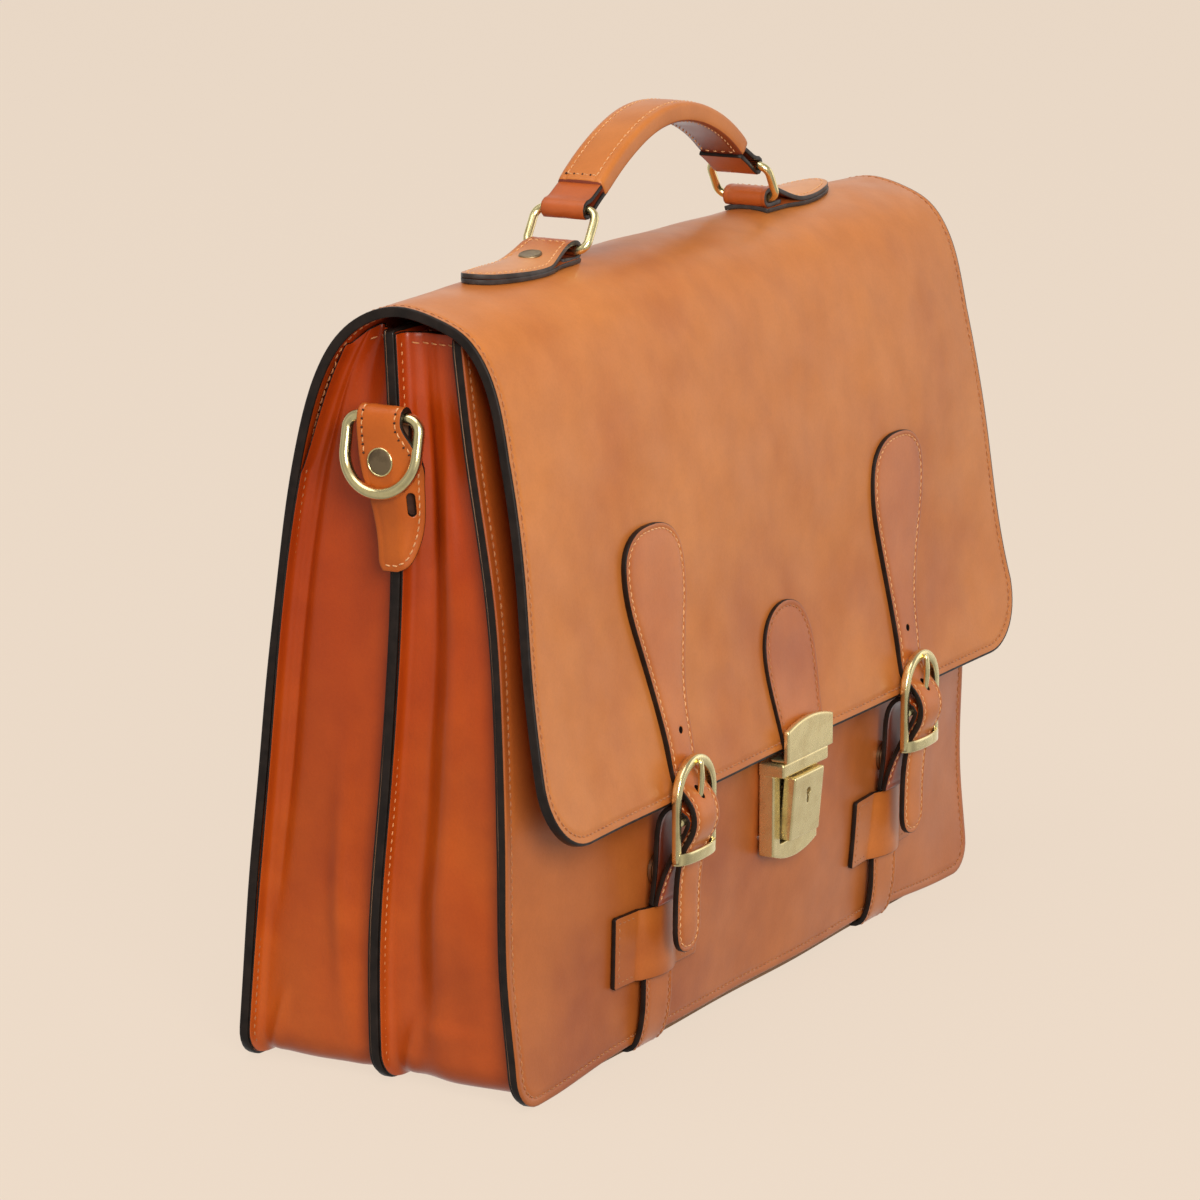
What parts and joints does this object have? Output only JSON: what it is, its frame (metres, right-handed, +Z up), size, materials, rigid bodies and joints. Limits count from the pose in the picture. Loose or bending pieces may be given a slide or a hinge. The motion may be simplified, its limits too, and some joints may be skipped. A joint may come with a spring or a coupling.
{
  "type": "leather briefcase",
  "caption": "Structured leather briefcase with gusseted compartments, a flap with a top handle, buckle straps, a tuck lock and side rings",
  "frame": {"origin": "centre of the object's footprint box, on the surface it stands on", "axes": "+X along the length of the case, -Y out of the front with the buckles, +Z up"},
  "size_m": [0.4152, 0.1615, 0.3635],
  "materials": {
    "leather_body": "full-grain, semi-gloss",
    "leather_gusset": "soft, semi-gloss",
    "leather_strap": "full-grain, semi-gloss",
    "leather_lining": "smooth, semi-gloss",
    "leather_edge": "dyed and burnished",
    "thread": "waxed",
    "antique_brass": "antique, brushed",
    "steel": "plain",
    "board": "raw fibreboard"
  },
  "bodies": {
    "case": {"back_panel": "leather_body", "middle_divider": "leather_body", "front_panel": "leather_body", "rear_gusset": "leather_gusset", "front_gusset": "leather_gusset", "panel_magnets": "steel", "lower_strap_left": "leather_strap", "lower_strap_right": "leather_strap", "strap_patch_left": "leather_strap", "strap_patch_right": "leather_strap", "lock_case": "antique_brass", "lock_backplate": "steel", "lock_screws": "steel", "side_tab_left": "leather_strap", "side_tab_right": "leather_strap", "side_rivets": "antique_brass"},
    "flap": {"flap": "leather_body", "handle_board": "board", "racket_strap_left": "leather_strap", "racket_strap_right": "leather_strap", "buckle_frame_left": "antique_brass", "buckle_frame_right": "antique_brass", "buckle_loop_left": "leather_strap", "buckle_loop_right": "leather_strap", "loop_magnets": "steel", "lock_tongue": "leather_body", "hasp_plate": "antique_brass", "hasp_rivets": "antique_brass", "handle_anchor_left": "leather_strap", "handle_anchor_right": "leather_strap", "anchor_rivets": "antique_brass"},
    "prong_left": {"buckle_prong_left": "antique_brass"},
    "prong_right": {"buckle_prong_right": "antique_brass"},
    "ring_left": {"handle_ring_left": "antique_brass"},
    "ring_right": {"handle_ring_right": "antique_brass"},
    "handle": {"handle_strap": "leather_strap", "handle_core": "leather_lining", "handle_lining": "leather_lining"},
    "d_ring_left": {"d_ring_left": "antique_brass"},
    "d_ring_right": {"d_ring_right": "antique_brass"},
    "push_plate": {"push_plate": "antique_brass", "plate_spring": "steel"},
    "key": {"key_barrel": "antique_brass"},
    "bolt": {"lock_bolt": "antique_brass"}
  },
  "joints": [
    {"name": "flap_hinge", "type": "hinge", "parent": "case", "child": "flap", "pos_m": [0, 0.02745, 0.29866], "axis": [-1, 0, 0], "range_deg": [0, 150]},
    {"name": "ring_left_swing", "type": "hinge", "parent": "flap", "child": "ring_left", "pos_m": [-0.0814, -0.0005, 0.3146], "axis": [0, 1, 0], "range_deg": [-8, 8]},
    {"name": "handle_swing", "type": "hinge", "parent": "ring_left", "child": "handle", "pos_m": [-0.072, -0.0005, 0.3295], "axis": [0, 1, 0], "range_deg": [-9.2, 9.2]},
    {"name": "ring_right_swing", "type": "hinge", "parent": "flap", "child": "ring_right", "pos_m": [0.0814, -0.0005, 0.3146], "axis": [0, 1, 0], "range_deg": [-8, 8]},
    {"name": "d_ring_left_swing", "type": "hinge", "parent": "case", "child": "d_ring_left", "pos_m": [-0.1992, 0.0059, 0.2664], "axis": [0, 1, 0], "range_deg": [0, 150]},
    {"name": "d_ring_right_swing", "type": "hinge", "parent": "case", "child": "d_ring_right", "pos_m": [0.1992, 0.0059, 0.2664], "axis": [0, -1, 0], "range_deg": [0, 150]},
    {"name": "prong_left_lift", "type": "hinge", "parent": "flap", "child": "prong_left", "pos_m": [-0.101, -0.0742, 0.098], "axis": [1, 0, 0], "range_deg": [0, 18]},
    {"name": "prong_right_lift", "type": "hinge", "parent": "flap", "child": "prong_right", "pos_m": [0.101, -0.0742, 0.098], "axis": [1, 0, 0], "range_deg": [0, 18]},
    {"name": "plate_push", "type": "slide", "parent": "case", "child": "push_plate", "axis": [0, 1, 0], "range_m": [0, 0.0014], "stiffness_N_per_m": 500, "springref_m": -0.001},
    {"name": "key_turn", "type": "hinge", "parent": "case", "child": "key", "pos_m": [0, -0.0655, 0.0846], "axis": [0, -1, 0], "range_deg": [0, 90]},
    {"name": "bolt_lift", "type": "slide", "parent": "case", "child": "bolt", "axis": [0, 0, 1], "range_m": [0, 0.0024]}
  ],
  "couplings": [
    {"joint": "handle_swing", "follows": "ring_left_swing", "ratio": -1.13},
    {"joint": "ring_right_swing", "follows": "ring_left_swing", "ratio": 1},
    {"joint": "key_turn", "follows": "bolt_lift", "rad_per_m": 654.5}
  ]
}
